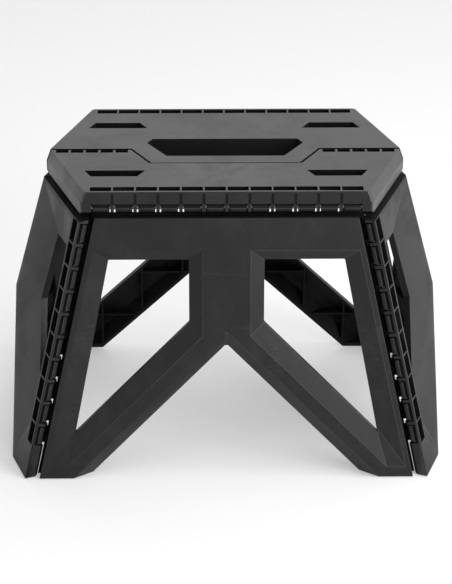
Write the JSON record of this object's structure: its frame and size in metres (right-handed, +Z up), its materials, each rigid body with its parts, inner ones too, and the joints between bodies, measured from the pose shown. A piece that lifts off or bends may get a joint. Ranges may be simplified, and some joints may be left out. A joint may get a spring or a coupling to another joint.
{
  "type": "folding camping stool",
  "caption": "Moulded plastic folding stool with a split hexagonal seat, splayed M-shaped leg panels and folding side panels on pinned edge hinges.",
  "frame": {"origin": "on the floor under the middle of the seat, with the stool standing open", "axes": "+Z up, +X along the long seat towards the right, +Y towards the rear edge; -Y is the front, which the tongue's hand grip faces"},
  "size_m": [0.4, 0.2596, 0.275],
  "materials": {
    "black_plastic": "fine-textured black moulding",
    "pin_steel": "plain drawn steel",
    "pad_rubber": "matt rubber"
  },
  "bodies": {
    "rear_legs": {"rear_leg_panel": "black_plastic", "rear_right_leg_pad": "pad_rubber", "rear_left_leg_pad": "pad_rubber", "rear_seat_pin": "pin_steel", "rear_right_corner_pin": "pin_steel", "rear_left_corner_pin": "pin_steel"},
    "rear_seat": {"rear_seat_half": "black_plastic"},
    "front_seat": {"front_seat_half": "black_plastic", "right_centre_pin": "pin_steel", "left_centre_pin": "pin_steel"},
    "front_legs": {"front_leg_panel": "black_plastic", "front_right_leg_pad": "pad_rubber", "front_left_leg_pad": "pad_rubber", "front_seat_pin": "pin_steel", "front_right_corner_pin": "pin_steel", "front_left_corner_pin": "pin_steel"},
    "front_right_side": {"front_right_side_panel": "black_plastic", "front_right_side_pad": "pad_rubber", "right_ridge_pin": "pin_steel"},
    "front_left_side": {"front_left_side_panel": "black_plastic", "front_left_side_pad": "pad_rubber", "left_ridge_pin": "pin_steel"},
    "rear_right_side": {"rear_right_side_panel": "black_plastic", "rear_right_side_pad": "pad_rubber"},
    "rear_left_side": {"rear_left_side_panel": "black_plastic", "rear_left_side_pad": "pad_rubber"}
  },
  "joints": [
    {"name": "centre_fold", "type": "hinge", "parent": "rear_seat", "child": "front_seat", "pos_m": [0, 0, 0.253], "axis": [1, 0, 0], "range_deg": [0, 179]},
    {"name": "rear_leg_fold", "type": "hinge", "parent": "rear_legs", "child": "rear_seat", "pos_m": [0, 0.0892, 0.2578], "axis": [-1, 0, 0], "range_deg": [0, 82.6]},
    {"name": "front_leg_fold", "type": "hinge", "parent": "front_seat", "child": "front_legs", "pos_m": [0, -0.0892, 0.2578], "axis": [-1, 0, 0], "range_deg": [0, 82.6]},
    {"name": "front_right_side_fold", "type": "hinge", "parent": "front_legs", "child": "front_right_side", "pos_m": [0.1232, -0.0892, 0.2578], "axis": [0.2158, -0.1258, -0.9683], "range_deg": [0, 68.36]},
    {"name": "front_left_side_fold", "type": "hinge", "parent": "front_legs", "child": "front_left_side", "pos_m": [-0.1232, -0.0892, 0.2578], "axis": [0.2158, 0.1258, 0.9683], "range_deg": [0, 68.36]},
    {"name": "rear_right_side_fold", "type": "hinge", "parent": "rear_legs", "child": "rear_right_side", "pos_m": [0.1232, 0.0892, 0.2578], "axis": [-0.2158, -0.1258, 0.9683], "range_deg": [0, 68.36]},
    {"name": "rear_left_side_fold", "type": "hinge", "parent": "rear_legs", "child": "rear_left_side", "pos_m": [-0.1232, 0.0892, 0.2578], "axis": [-0.2158, 0.1258, -0.9683], "range_deg": [0, 68.36]}
  ],
  "couplings": [
    {"joint": "rear_leg_fold", "follows": "centre_fold", "ratio": 0.46145},
    {"joint": "front_leg_fold", "follows": "centre_fold", "ratio": 0.46145},
    {"joint": "front_right_side_fold", "follows": "centre_fold", "ratio": 0.3819},
    {"joint": "front_left_side_fold", "follows": "centre_fold", "ratio": 0.3819},
    {"joint": "rear_right_side_fold", "follows": "centre_fold", "ratio": 0.3819},
    {"joint": "rear_left_side_fold", "follows": "centre_fold", "ratio": 0.3819}
  ]
}
